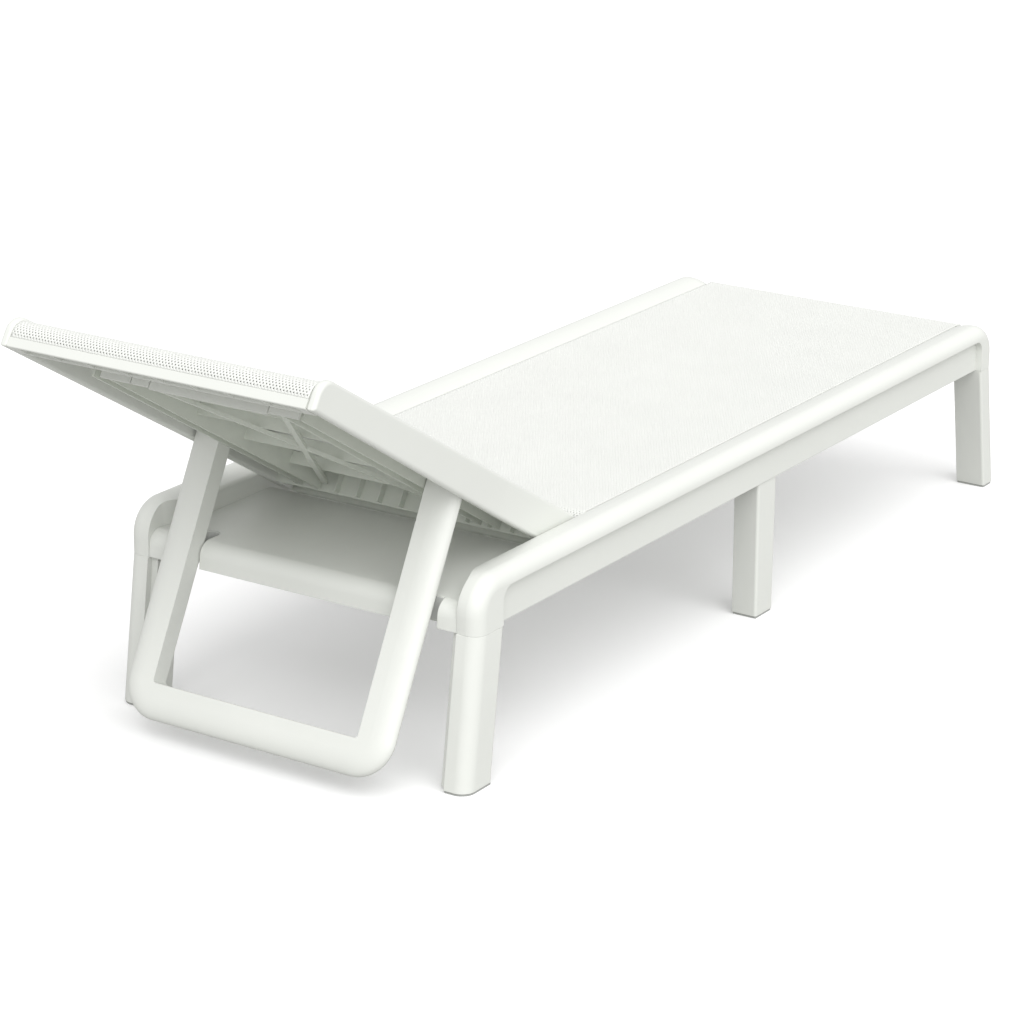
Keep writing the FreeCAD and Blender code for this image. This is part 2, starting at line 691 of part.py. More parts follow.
def seat_sling():
    """Stretched seat, wrapped around a crossbar at both ends."""
    top = sling_z
    bar_z = seat_bar_z
    outer = bar_radius + fabric_gap + sling_thickness
    inner = bar_radius + fabric_gap
    half = inner_wall - edge_gap
    flat = box(head_bar_x, foot_bar_x, -half, half, top - sling_thickness, top)
    hems = [box(head_bar_x, head_bar_x + hem, -half, half, bar_z - outer, bar_z - inner),
            box(foot_bar_x - hem, foot_bar_x, -half, half, bar_z - outer, bar_z - inner)]
    turns = []
    for x, side in ((head_bar_x, -1), (foot_bar_x, 1)):
        turn = ring(x, bar_z, -half, half, outer, inner)
        away = sorted((x, x - side * 2 * outer))
        turns.append(turn.cut(box(away[0], away[1], -half - 1, half + 1,
                                  bar_z - outer - 1, bar_z + outer + 1)))
    return flat.multiFuse(hems + turns).removeSplitter()


def edge_rod():
    """Rod in the hem of the sling, lying in the groove of the rail."""
    centre = inner_wall + groove_size / 2
    return Part.makeCylinder(edge_rod_radius, groove_end - groove_start - 4,
                             FreeCAD.Vector(groove_start + 2, centre, groove_z), FreeCAD.Vector(1, 0, 0))


export("hinge_crossbar", crossbar_tube(head_bar_x))
export("foot_crossbar", crossbar_tube(foot_bar_x))
export("mid_crossbar", mid_crossbar())
export("seat_sling", seat_sling())
export("sling_edge_rods", *both_sides(edge_rod()))
export("crossbar_plugs", *[plug for one in bar_plugs for plug in both_sides(one)])
export("leg_screws", *[screw for one in head_leg_fixed_by + foot_leg_fixed_by for screw in both_sides(one)])
export("deck_screws", *[screw for one in deck_fixed_by for screw in both_sides(one)])
export("beam_screws", *[screw for one in mid_leg_fixed_by for screw in both_sides(one)])
export("hinge_bushes", *both_sides(ring(hinge_x, hinge_z, inner_wall, bush_end,
                                        pin_radius + running_fit + bush_wall, pin_radius + running_fit)))


# ---------------------------------------------------------------- backrest, drawn level
# Along the backrest, "reach" runs from the hinge axis to the head and "rise"
# is square to it.  The parts are drawn level and raised to the rest angle.
def on_back(corners):
    return [(hinge_x - corner[0], hinge_z + corner[1]) + tuple(corner[2:]) for corner in corners]


def back_slab(corners, y0, y1):
    return slab(on_back(corners), y0, y1)


def back_box(reach0, reach1, y0, y1, rise0, rise1):
    return box(hinge_x - reach1, hinge_x - reach0, y0, y1, hinge_z + rise0, hinge_z + rise1)


def raised(shape):
    """The backrest turned up to the rest angle."""
    return shape.rotated(FreeCAD.Vector(hinge_x, 0, hinge_z), FreeCAD.Vector(0, 1, 0), rest_angle)


def raised_all(shapes):
    return [raised(shape) for shape in shapes]


def side_top(reach):
    """Top of the side members above the hinge axis."""
    return back_above_axis + (back_above_head - back_above_axis) * reach / back_reach


def plan_prism(half, head_half):
    """Everything within the plan outline of the backrest: straight, then flaring to the head."""
    reaches = [(-back_tail - 1, half), (flare_start, half), (back_reach, head_half),
               (back_reach + 1, head_half)]
    left = [FreeCAD.Vector(hinge_x - reach, y, hinge_z - full_width) for reach, y in reaches]
    right = [FreeCAD.Vector(point.x, -point.y, point.z) for point in reversed(left)]
    outline = Part.Face(Part.makePolygon(left + right + left[:1]))
    return outline.extrude(FreeCAD.Vector(0, 0, 2 * full_width))


def between_members(shape, gap=0.0):
    """The part of a shape that lies between the inner faces of the side members."""
    return shape.common(plan_prism(member_inner - gap, head_member_inner - gap))


def back_side():
    """Left side member: straight between the rails, flaring towards the head."""
    outline = [(-back_tail, -back_below, 3.0), (back_reach, -back_below, 2 * lip_round),
               (back_reach, side_top(back_reach), back_roll), (-back_tail, side_top(-back_tail), 12.0)]
    member = back_slab(outline, member_inner - 1, head_half_width + 1)
    member = member.common(plan_prism(back_half_width, head_half_width))
    member = member.cut(plan_prism(member_inner, head_member_inner))

    head_x = hinge_x - back_reach

    def outer_edge(edge):
        bounds = edge.BoundBox
        outside = bounds.YMin > back_half_width - 0.01
        along_top = bounds.ZMin > hinge_z and bounds.XLength > post_edge
        down_the_head = bounds.XMax < head_x + 0.01 and bounds.ZLength > post_edge
        return outside and (along_top or down_the_head) and bounds.YMax > bounds.YMin - 1

    member = rounded(member, side_edge_round, outer_edge)
    hub = back_slab([(-hub_half, -back_below, 4), (hub_half, -back_below, 4), (hub_half, hub_rise, 10),
                     (-hub_half, hub_rise, 10)], member_inner - hub_width, member_inner)
    member = member.fuse(hub).removeSplitter()
    member = member.cut(rod(hinge_x, hinge_z, member_inner - hub_width - 1, back_half_width + 1, pin_radius))
    pivot = on_back([(bail_pivot_reach, bail_pivot_rise)])[0]
    return member.cut(rod(pivot[0], pivot[1], member_inner - 1, member_inner + pin_seat, pin_radius))


def head_rail():
    """Head border: a lip below the mesh, and thin formers on a back wall that carry its roll."""
    top = side_top(back_reach) - sling_inset - sling_thickness - fabric_gap
    step = sling_thickness + 2 * fabric_gap + sling_recess
    roll = back_roll - step
    back = back_reach - head_rail_depth
    outline = [(back_reach, -back_below, 2 * lip_round), (back_reach, lip_top, lip_round),
               (back_reach - step, lip_top), (back_reach - step, top, roll),
               (back, top), (back, -back_below)]
    rail = back_slab(outline, -head_half_width, head_half_width)
    pitch = 2 * member_inner / head_formers
    for k in range(head_formers):
        y0 = -member_inner + pitch * k + rib / 2
        y1 = y0 + pitch - rib
        rail = rail.cut(back_box(back + head_back_wall, back_reach, y0, y1, lip_top, top + 1))
        rail = rail.cut(back_box(back + wall, back_reach - wall, y0, y1, -back_below - 1, lip_top - wall))
    return between_members(rail)


def head_wall():
    """Downstand wall behind the head border, in lengths with narrow gaps between them."""
    low = -back_below + head_wall_rise
    lengths = []
    for k, (start, end) in enumerate(zip(head_wall_ends, head_wall_ends[1:])):
        bottom = low - head_wall_rise if k == 1 else low
        lengths.append(back_box(head_wall_reach, head_wall_reach + wall,
                                start + head_wall_gap / 2, end - head_wall_gap / 2, bottom, head_wall_top))
    tie = back_box(head_wall_reach - wall, head_wall_reach, head_wall_ends[0], -head_wall_ends[0],
                   head_wall_top - head_tie_height, head_wall_top)
    return tie.multiFuse(lengths).removeSplitter()


def lower_rail():
    """Lower end of the backrest, hollow underneath; its sling passes over the rounded top corner."""
    front = -back_tail + sling_thickness + fabric_gap + 1.0
    back = front + lower_rail_depth
    low = -back_below + lower_rail_rise
    top = side_top(back) - sling_inset - sling_thickness - 2 * fabric_gap
    rail = back_slab([(front, low), (front, top, lower_rail_round), (back, top, 2.0), (back, low)],
                     -member_inner, member_inner)
    pocket = back_box(front + wall, back - wall, -member_inner + wall, member_inner - wall,
                      low - 1, top - lower_rail_round)
    for y in (-member_inner / 2, 0.0, member_inner / 2):
        pocket = pocket.cut(back_box(front, back, y - rib / 2, y + rib / 2, -full_width, full_width))
    return rail.cut(pocket)


def hinge_wall():
    """Upright wall across the backrest beside the hinge, stiffened by short ribs."""
    half = member_inner
    panel = back_box(hinge_wall_reach, hinge_wall_reach + wall, -half, half, -back_below + 2, under_sling)
    ribs = []
    for k in range(1, hinge_wall_ribs + 1):
        y = -half + 2 * half * k / (hinge_wall_ribs + 1)
        ribs.append(back_box(hinge_wall_reach + wall, hinge_wall_reach + wall + hinge_rib_depth,
                             y - hinge_rib_thickness / 2, y + hinge_rib_thickness / 2,
                             -back_below + 4, under_sling - 4))
    return panel.multiFuse(ribs).removeSplitter()


def channel_rib():
    """Left channel: an upside-down U from the hinge wall to the head wall, beside the bail arm."""
    y1 = channel_outer
    y0 = y1 - channel_width
    reach0 = hinge_wall_reach + wall + hinge_rib_depth + 0.5
    reach1 = head_wall_reach - wall
    top = under_sling - 2
    outer = back_box(reach0, reach1, y0, y1, -back_below + channel_rise, top)
    hollow_part = back_box(reach0 - 1, reach1 + 1, y0 + wall, y1 - wall, -back_below, top - wall)
    channel = outer.cut(hollow_part)
    pivot = on_back([(bail_pivot_reach, bail_pivot_rise)])[0]
    return channel.cut(rod(pivot[0], pivot[1], y1 - wall - 1, y1 + 1, pin_radius))


def cross_ribs():
    """Thin ribs between the channels, and from each channel to its side member."""
    inner = channel_outer - channel_width
    top = under_sling - 2
    ribs = [back_box(reach, reach + rib, -inner, inner, cross_rib_low, top) for reach in inner_rib_reaches]
    for reach in outer_rib_reaches:
        outer_rib = back_box(reach, reach + rib, channel_outer, head_half_width, outer_rib_low, top)
        ribs += both_sides(between_members(outer_rib))
    for reach in strap_reaches:
        strap = back_box(reach, reach + strap_width, inner + wall, head_half_width, strap_low, strap_top)
        ribs += both_sides(between_members(strap))
    return ribs


def braces():
    """Two crossing diagonals under the cross ribs; one runs through, the other meets it in two parts."""
    inner = channel_outer - channel_width - 2.0
    reach0 = hinge_wall_reach + wall + hinge_rib_depth + 2.0
    reach1 = head_wall_reach - wall - 2.0
    diagonals = []
    for side in (-1, 1):
        corners = [(reach0, side * (inner - brace_width)), (reach0, side * inner),
                   (reach1, side * (brace_width - inner)), (reach1, side * -inner)]
        points = [FreeCAD.Vector(hinge_x - reach, y, hinge_z + brace_low) for reach, y in corners]
        face = Part.Face(Part.makePolygon(points + points[:1]))
        diagonals.append(face.extrude(FreeCAD.Vector(0, 0, cross_rib_low - brace_low)))
    return [diagonals[0], diagonals[1].cut(diagonals[0])]


def back_sling():
    """Stretched mesh of the backrest, over the lower rail and around the rolled head end."""
    face_reach = back_reach - sling_recess
    inner_reach = face_reach - sling_thickness
    tail = -back_tail + 1.0
    top0 = side_top(-back_tail) - sling_inset
    top1 = side_top(back_reach) - sling_inset
    roll = back_roll - sling_recess
    tail_roll = lower_rail_round + sling_thickness
    low = lip_top + fabric_gap
    t = sling_thickness
    outline = [(tail, tail_hem_rise), (tail, top0, tail_roll), (face_reach, top1, roll), (face_reach, low),
               (inner_reach, low), (inner_reach, top1 - t, roll - t),
               (tail + t, top0 - t, tail_roll - t), (tail + t, tail_hem_rise)]
    return between_members(back_slab(outline, -head_half_width, head_half_width), 0.5)


def back_pin():
    """Hinge pin: fixed in the side member, turning in the bush of the rail."""
    return rod(hinge_x, hinge_z, member_inner - hub_width, bush_end - 1.0, pin_radius)


def bail_pin():
    """Pivot of one bail arm: from the channel wall through the arm into the side member."""
    pivot = on_back([(bail_pivot_reach, bail_pivot_rise)])[0]
    return rod(pivot[0], pivot[1], channel_outer - wall, member_inner + pin_seat, pin_radius)


back_side_left = raised(back_side())
export("back_side_left", back_side_left)
export("back_side_right", other_side(back_side_left))
export("back_head_rail", raised(head_rail()))
export("back_head_wall", raised(head_wall()))
export("back_lower_rail", raised(lower_rail()))
export("back_hinge_wall", raised(hinge_wall()))
channel_left = raised(channel_rib())
export("back_channel_left", channel_left)
export("back_channel_right", other_side(channel_left))
export("back_cross_ribs", *raised_all(cross_ribs()))
export("back_braces", *raised_all(braces()))
export("back_sling", raised(back_sling()))
export("hinge_pins", *raised_all(both_sides(back_pin())))
export("bail_pivot_pins", *raised_all(both_sides(bail_pin())))


# ---------------------------------------------------------------- bail, drawn upright
# The pivot is the starting point, the arms hang straight down and the flat
# face looks towards the head end.
def leaned(shape):
    """The bail moved to its pivot and swung to its lean at rest."""
    placed = shape.translated(FreeCAD.Vector(pivot_x, 0, pivot_z))
    return placed.rotated(FreeCAD.Vector(pivot_x, 0, pivot_z), FreeCAD.Vector(0, 1, 0), bail_lean)


def bail_section(y, z):
    """Section of the right arm at its upper end: flat on the inside, rounded to the outside."""
    half_depth = bail_depth / 2
    turn_y = y - bail_flat
    front = FreeCAD.Vector(-half_depth, turn_y, z)
    back = FreeCAD.Vector(half_depth, turn_y, z)
    inner_front = FreeCAD.Vector(-half_depth, y, z)
    inner_back = FreeCAD.Vector(half_depth, y, z)
    ellipse = Part.Ellipse(FreeCAD.Vector(0, y - bail_arm_width, z), back, FreeCAD.Vector(0, turn_y, z))
    rounding = Part.ArcOfEllipse(ellipse, -math.pi / 2, math.pi / 2).toShape()
    edges = [rounding, Part.makeLine(front, inner_front), Part.makeLine(inner_front, inner_back),
             Part.makeLine(inner_back, back)]
    return Part.Wire(Part.__sortEdges__(edges))


def bail_frame():
    """One-piece U, its section carried along the inside edge of the U."""
    half_depth = bail_depth / 2
    top = half_depth
    low = bail_arm_width - bail_length
    r = bail_inner_corner
    diagonal = r * (1 - math.sqrt(0.5))

    def at(y, z):
        return FreeCAD.Vector(0, y, z)

    right = -bail_inner_half
    left = bail_inner_half
    path = Part.Wire([
        Part.makeLine(at(right, top), at(right, low + r)),
        Part.Arc(at(right, low + r), at(right + diagonal, low + diagonal), at(right + r, low)).toShape(),
        Part.makeLine(at(right + r, low), at(left - r, low)),
        Part.Arc(at(left - r, low), at(left - diagonal, low + diagonal), at(left, low + r)).toShape(),
        Part.makeLine(at(left, low + r), at(left, top))])
    bail = path.makePipeShell([bail_section(right, top)], True, False)
    for y0 in (-arm_outer_half - 1, bail_inner_half - 1):
        y1 = y0 + bail_arm_width + 2
        squared = box(-bail_depth, bail_depth, y0, y1, 0, top + 1)
        bail = bail.cut(squared.cut(rod(0, 0, y0 - 1, y1 + 1, half_depth)))
        bail = bail.cut(rod(0, 0, y0 - 1, y1 + 1, pin_radius + running_fit + bush_wall))
    return bail


def bail_bush():
    outer = pin_radius + running_fit + bush_wall
    return ring(0, 0, bail_inner_half, bail_inner_half + arm_bush_length, outer, pin_radius + running_fit)


export("bail_frame", leaned(bail_frame()))
export("bail_bushes", *[leaned(bush) for bush in both_sides(bail_bush())])
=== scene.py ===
import json
import math

import bpy
import numpy as np
from mathutils import Matrix, Vector


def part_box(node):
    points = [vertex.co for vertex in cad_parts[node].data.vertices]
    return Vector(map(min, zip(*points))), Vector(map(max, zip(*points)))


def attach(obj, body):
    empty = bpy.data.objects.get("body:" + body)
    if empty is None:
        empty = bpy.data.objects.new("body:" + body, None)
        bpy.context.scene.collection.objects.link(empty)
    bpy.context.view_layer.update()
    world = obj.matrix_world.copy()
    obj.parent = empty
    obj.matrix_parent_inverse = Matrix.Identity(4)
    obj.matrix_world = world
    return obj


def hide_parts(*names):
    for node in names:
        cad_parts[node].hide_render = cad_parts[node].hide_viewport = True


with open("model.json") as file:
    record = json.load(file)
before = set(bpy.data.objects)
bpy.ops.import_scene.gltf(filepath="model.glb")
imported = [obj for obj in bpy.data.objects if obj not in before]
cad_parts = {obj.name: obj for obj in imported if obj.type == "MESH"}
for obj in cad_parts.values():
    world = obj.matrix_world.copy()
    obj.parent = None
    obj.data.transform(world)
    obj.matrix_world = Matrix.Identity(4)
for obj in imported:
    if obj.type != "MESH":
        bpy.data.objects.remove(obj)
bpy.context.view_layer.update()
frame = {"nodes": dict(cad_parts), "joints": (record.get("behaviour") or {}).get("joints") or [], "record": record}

# Reclining sun lounger, metres, in the frame of the CAD model: +X runs to the
# foot end, +Y is the left of a person lying on it, +Z is up.  The moulded
# parts are the CAD nodes in resin materials whose shading rounds their edges a
# little.  The two stretched mesh panels are built here as perforated sheets
# with a thickness and a plain hem.

# ---------------------------------------------------------------- camera and light
camera_place = Vector((-4.5976, -2.9390, 2.0609))
camera_yaw = math.radians(33.41)       # from +X towards +Y
camera_pitch = math.radians(19.04)     # below level
camera_roll = math.radians(0.434)
camera_lens = 113.15                   # mm
camera_sensor = 36                     # mm wide
camera_sight = 100                     # how far it sees
sky_strength = 0.72
lamp_strength = 2.40
lamp_from = Vector((-0.46, -0.52, 0.72))   # above the camera and a little to its right
lamp_spread = math.radians(70)         # a wide lamp gives the soft shadow of a studio
floor_white = (0.88, 0.88, 0.88)       # the floor as the camera sees it
floor_glow = 0.18                      # how far its shadow is lifted there
floor_bounce = (0.50, 0.50, 0.49)      # and as it lights the lounger from below
floor_half = 30.0

# ---------------------------------------------------------------- measures of the fabric
hole_pitch = 0.00577                   # between holes, across the lounger
hole_row_pitch = 0.0045                # between rows of holes, along it
hole_radius = 0.00135
sheet_half_thickness = 0.001           # the CAD slings are 2 mm thick; the sheet is their middle
yarn_thickness = 0.0019                # of the drawn sheet, a little less than the sling
plain_hem = 0.0025                     # strip without holes along the edges
seat_turn_under = 0.04                 # seat mesh that runs back beneath each crossbar
seat_sag = 0.002
back_sag = 0.0015
turn_slack = 0.00001                   # a half turn is drawn this much short of its full radius

# the backrest as the CAD draws it
rest_angle = math.radians(31.43)
back_flare_start = 0.180               # reach at which its sides start to flare
back_head_reach = 0.7646               # mesh at the head face
back_tail_reach = -0.051
back_top_tail = 0.0459                 # top of the mesh above the hinge axis, tail and head
back_top_head = 0.0319
back_lip_rise = -0.0008                # lower edge of the mesh at the head face
back_hem_rise = 0.008                  # and at the seat end
back_head_roll = 0.027
back_tail_roll = 0.011
lower_rail_inset = 0.0005              # its mesh ends this far inside the end of the lower rail

# the pattern of holes, in holes and rows
row_shift = 0.25                       # neighbouring rows are this far to either side
side_snap = 0.3                        # cell corners nearer than this to a side edge lie on it
end_snap = 0.2                         # and nearer than this to an end

hinge = Vector(next(j for j in frame["joints"] if j["name"] == "back_recline")["pos_m"])


# ---------------------------------------------------------------- materials
noise_low = 0.3                        # nearly all noise lies between these
noise_high = 0.7
edge_samples = 6                       # of the shading that rounds edges
resin_edge = 0.0011                    # radius that the shading gives the edges of the resin


class Shader:
    """A Principled material with short ways to add texture nodes."""

    def __init__(self, name, colour, roughness, metallic=0.0):
        self.material = bpy.data.materials.new(name)
        self.material.use_nodes = True
        self.nodes = self.material.node_tree.nodes
        self.links = self.material.node_tree.links
        self.surface = self.nodes["Principled BSDF"]
        self.surface.inputs["Base Color"].default_value = (*colour, 1)
        self.surface.inputs["Roughness"].default_value = roughness
        self.surface.inputs["Metallic"].default_value = metallic
        self.place = self.nodes.new("ShaderNodeTexCoord").outputs["Object"]

    def noise(self, scale, detail=2.0, stretch=(1, 1, 1)):
        """Noise over the object's own coordinates, per metre."""
        mapping = self.nodes.new("ShaderNodeMapping")
        mapping.inputs["Scale"].default_value = stretch
        self.links.new(self.place, mapping.inputs["Vector"])
        texture = self.nodes.new("ShaderNodeTexNoise")
        texture.inputs["Scale"].default_value = scale
        texture.inputs["Detail"].default_value = detail
        self.links.new(mapping.outputs["Vector"], texture.inputs["Vector"])
        return texture.outputs["Fac"]

    def spread(self, factor, low, high):
        """A number that runs from low to high with the factor."""
        node = self.nodes.new("ShaderNodeMapRange")
        node.inputs["From Min"].default_value = noise_low
        node.inputs["From Max"].default_value = noise_high
        node.inputs["To Min"].default_value = low
        node.inputs["To Max"].default_value = high
        self.links.new(factor, node.inputs["Value"])
        return node.outputs["Result"]

    def colours(self, factor, low, high):
        """A colour that runs from low to high with the factor."""
        ramp = self.nodes.new("ShaderNodeValToRGB")
        ramp.color_ramp.elements[0].position = noise_low
        ramp.color_ramp.elements[0].color = (*low, 1)
        ramp.color_ramp.elements[1].position = noise_high
        ramp.color_ramp.elements[1].color = (*high, 1)
        self.links.new(factor, ramp.inputs["Fac"])
        self.links.new(ramp.outputs["Color"], self.surface.inputs["Base Color"])

    def roughness(self, factor, low, high):
        """Roughness that runs from low to high with the factor."""
        self.links.new(self.spread(factor, low, high), self.surface.inputs["Roughness"])

    def bump(self, *layers, edge=0.0):
        """Stacks (height, depth in metres) layers of bump, over edges rounded by edge metres."""
        before = None
        if edge:
            rounding = self.nodes.new("ShaderNodeBevel")
            rounding.samples = edge_samples
            rounding.inputs["Radius"].default_value = edge
            before = rounding.outputs["Normal"]
        for height, depth in layers:
            node = self.nodes.new("ShaderNodeBump")
            node.inputs["Distance"].default_value = depth
            self.links.new(height, node.inputs["Height"])
            if before is not None:
                self.links.new(before, node.inputs["Normal"])
            before = node.outputs["Normal"]
        self.links.new(before, self.surface.inputs["Normal"])

    def lift_for_camera(self, glow, bounce):
        """Seen directly the surface glows a little; for all other light it is a plain darker matt."""
        self.surface.inputs["Emission Color"].default_value = (1, 1, 1, 1)
        self.surface.inputs["Emission Strength"].default_value = glow
        matt = self.nodes.new("ShaderNodeBsdfDiffuse")
        matt.inputs["Color"].default_value = (*bounce, 1)
        choice = self.nodes.new("ShaderNodeMixShader")
        ray = self.nodes.new("ShaderNodeLightPath")
        self.links.new(ray.outputs["Is Camera Ray"], choice.inputs[0])
        self.links.new(matt.outputs["BSDF"], choice.inputs[1])
        self.links.new(self.surface.outputs["BSDF"], choice.inputs[2])
        self.links.new(choice.outputs["Shader"], self.nodes["Material Output"].inputs["Surface"])


def tinted(colour, factor):
    """The colour, lighter or darker by the factor."""
    return tuple(channel * factor for channel in colour)


white = (0.752, 0.766, 0.728)
# painted shade: a darker, greener resin colour for the parts that lie in shade inside and beneath the lounger
inner_painted_shade_white = (0.700, 0.732, 0.664)


def resin(name, edge):
    """Satin moulded resin: flow marks, faint clouding and a fine spark-eroded grain."""
    shader = Shader(name, white, 0.36)
    shader.colours(shader.noise(3.0, 3.0, (1, 2, 2)), tinted(white, 0.985), tinted(white, 1.01))
    shader.roughness(shader.noise(35.0, 4.0), 0.32, 0.44)
    shader.bump((shader.noise(14.0, 2.0), 0.0006), (shader.noise(1400.0, 2.0), 0.00006), edge=edge)
    return shader.material


def inner_resin_painted_shade():
    """The same resin inside the mouldings, duller, with streaks from the mould, and with painted shade: its colour
    is darker and greener than the resin's, for parts that lie in shade inside and beneath the lounger.
    """
    shader = Shader("inner_resin_painted_shade", inner_painted_shade_white, 0.5)
    shader.colours(shader.noise(18.0, 3.0, (1, 4, 4)), tinted(inner_painted_shade_white, 0.96), tinted(inner_painted_shade_white, 1.0))
    shader.roughness(shader.noise(60.0, 3.0), 0.45, 0.6)
    shader.bump((shader.noise(20.0, 2.0), 0.0005), (shader.noise(900.0, 2.0), 0.00012))
    return shader.material


def mesh_yarn():
    """Coated mesh: matt, with a faint rib along the yarns."""
    colour = (0.775, 0.785, 0.755)
    shader = Shader("coated_mesh", colour, 0.55)
    shader.colours(shader.noise(9.0, 3.0), tinted(colour, 0.985), tinted(colour, 1.01))
    shader.roughness(shader.noise(160.0, 3.0), 0.5, 0.65)
    shader.bump((shader.noise(700.0, 1.0, (1, 5, 1)), 0.0002), (shader.noise(2200.0, 1.0), 0.00008))
    return shader.material


def coated_tube():
    """Powder-coated aluminium tube with a slight orange peel."""
    colour = (0.78, 0.79, 0.77)
    shader = Shader("coated_tube", colour, 0.32)
    shader.colours(shader.noise(40.0, 2.0), tinted(colour, 0.98), colour)
    shader.roughness(shader.noise(120.0, 2.0), 0.28, 0.38)
    shader.bump((shader.noise(600.0, 2.0), 0.0001))
    return shader.material


def fitting():
    """Hard plain plastic of bushes, plugs and liners, slightly greyer than the resin."""
    colour = (0.68, 0.69, 0.67)
    shader = Shader("hard_fitting", colour, 0.4)
    shader.colours(shader.noise(60.0, 2.0), tinted(colour, 0.96), colour)
    shader.roughness(shader.noise(90.0, 2.0), 0.35, 0.5)
    shader.bump((shader.noise(800.0, 2.0), 0.00008))
    return shader.material


def foot_rubber():
    """Pale foot pad, matt and a little scuffed."""
    colour = (0.44, 0.45, 0.43)
    shader = Shader("foot_rubber", colour, 0.8)
    shader.colours(shader.noise(150.0, 4.0), tinted(colour, 0.85), colour)
    shader.roughness(shader.noise(220.0, 3.0), 0.7, 0.9)
    shader.bump((shader.noise(1200.0, 2.0), 0.0002))
    return shader.material


def stainless():
    """Turned stainless steel with fine marks around its length."""
    colour = (0.6, 0.6, 0.61)
    shader = Shader("stainless_steel", colour, 0.3, metallic=1.0)
    shader.colours(shader.noise(90.0, 2.0), tinted(colour, 0.92), colour)
    shader.roughness(shader.noise(900.0, 2.0, (1, 0.1, 1)), 0.22, 0.38)
    shader.bump((shader.noise(2500.0, 1.0, (1, 0.05, 1)), 0.00003))
    return shader.material


materials = {"resin": resin("moulded_resin", resin_edge), "fittings": fitting(), "pads": foot_rubber(),
             "bar": coated_tube(), "steel": stainless(), "mesh_fabric": mesh_yarn()}
# parts inside and beneath the lounger, which get the resin with painted shade
inside_nodes = ["back_hinge_wall", "back_channel_left", "back_channel_right", "back_cross_ribs",
                "back_braces", "back_lower_rail", "mid_crossbar"]
inner_painted_shade_material = inner_resin_painted_shade()
flush_nodes = ["back_side_left", "back_side_right", "back_head_rail"]   # these join without a seam
flush_material = resin("flush_resin", edge=0.0)


# ---------------------------------------------------------------- the CAD nodes
def dress_frame():
    """Give every CAD node its material."""
    slots = {part["node"]: part["material_slot"] for part in frame["record"]["subparts"]}
    for name, node in frame["nodes"].items():
        finish = materials[slots[name]]
        # the parts inside and beneath get the darker, greener resin of painted shade
        if name in inside_nodes:
            finish = inner_painted_shade_material
        if name in flush_nodes:
            finish = flush_material
        for k in range(len(node.data.materials)):
            node.data.materials[k] = finish


# ---------------------------------------------------------------- paths the mesh follows
class Path:
    """A line of straight runs and arcs in a plane, followed by its length."""

    def __init__(self, corners):
        """corners are (a, b, radius); the first and last are the ends."""
        points = [np.array(corner[:2], float) for corner in corners]
        self.runs = []
        here = points[0]
        for k in range(1, len(points) - 1):
            back = points[k - 1] - points[k]
            on = points[k + 1] - points[k]
            back /= np.linalg.norm(back)
            on /= np.linalg.norm(on)
            half = math.acos(float(np.clip(back @ on, -1, 1))) / 2
            reach = corners[k][2] / math.tan(half)
            start = points[k] + back * reach
            self.runs.append(("line", here, start))
            middle = back + on
            centre = points[k] + middle / np.linalg.norm(middle) * corners[k][2] / math.sin(half)
            turn = math.pi - 2 * half
            side = 1 if back[0] * on[1] - back[1] * on[0] < 0 else -1
            self.runs.append(("arc", centre, start, side * turn))
            here = points[k] + on * reach
        self.runs.append(("line", here, points[-1]))
        self.lengths = [self.run_length(run) for run in self.runs]
        self.length = sum(self.lengths)

    @staticmethod
    def run_length(run):
        if run[0] == "line":
            return float(np.linalg.norm(run[2] - run[1]))
        return abs(run[3]) * float(np.linalg.norm(run[2] - run[1]))

    def at(self, along):
        """Points at the given lengths along the path."""
        out = np.zeros((len(along), 2))
        begun = 0.0
        for run, length in zip(self.runs, self.lengths):
            last = run is self.runs[-1]
            chosen = (along >= begun - 1e-9) & ((along < begun + length) | last)
            share = ((along[chosen] - begun) / max(length, 1e-9))[:, None]
            if run[0] == "line":
                out[chosen] = run[1] + (run[2] - run[1]) * share
            else:
                arm = run[2] - run[1]
                angle = share[:, 0] * run[3]
                out[chosen, 0] = run[1][0] + arm[0] * np.cos(angle) - arm[1] * np.sin(angle)
                out[chosen, 1] = run[1][1] + arm[0] * np.sin(angle) + arm[1] * np.cos(angle)
            begun += length
        return out


# ---------------------------------------------------------------- perforated mesh
def honeycomb(columns, rows, hole_across, hole_along):
    """Flat pattern of holes in offset rows: points as (column, row) numbers, and quads.

    Each hole is a ring of six quads inside a six-sided cell.
    """
    corners = np.array([(0, 2 / 3), (0.5, 1 / 3), (0.5, -1 / 3), (0, -2 / 3), (-0.5, -1 / 3), (-0.5, 1 / 3)])
    angles = np.radians([90, 30, -30, -90, -150, 150])
    ring = np.stack([hole_across * np.cos(angles), hole_along * np.sin(angles)], 1)
    column, row = np.meshgrid(np.arange(columns), np.arange(rows))
    shift = np.where(row % 2 == 0, -row_shift, row_shift)
    centres = np.stack([column + 0.5 + shift, row + 0.5], -1).reshape(-1, 1, 2)
    outer = centres + corners
    for axis, count, snap in ((0, columns, side_snap), (1, rows, end_snap)):
        outer[..., axis] = np.where(outer[..., axis] < snap, 0, outer[..., axis])
        outer[..., axis] = np.where(outer[..., axis] > count - snap, count, outer[..., axis])
    inner = centres + ring
    shared, which = np.unique(np.round(outer.reshape(-1, 2), 5), axis=0, return_inverse=True)
    which = which.reshape(-1, 6)
    first_hole = len(shared)
    holes = first_hole + np.arange(inner.shape[0] * 6).reshape(-1, 6)
    points = np.concatenate([shared, inner.reshape(-1, 2)])
    after = np.roll(np.arange(6), -1)
    quads = np.stack([which, which[:, after], holes[:, after], holes], -1).reshape(-1, 4)
    return points, quads


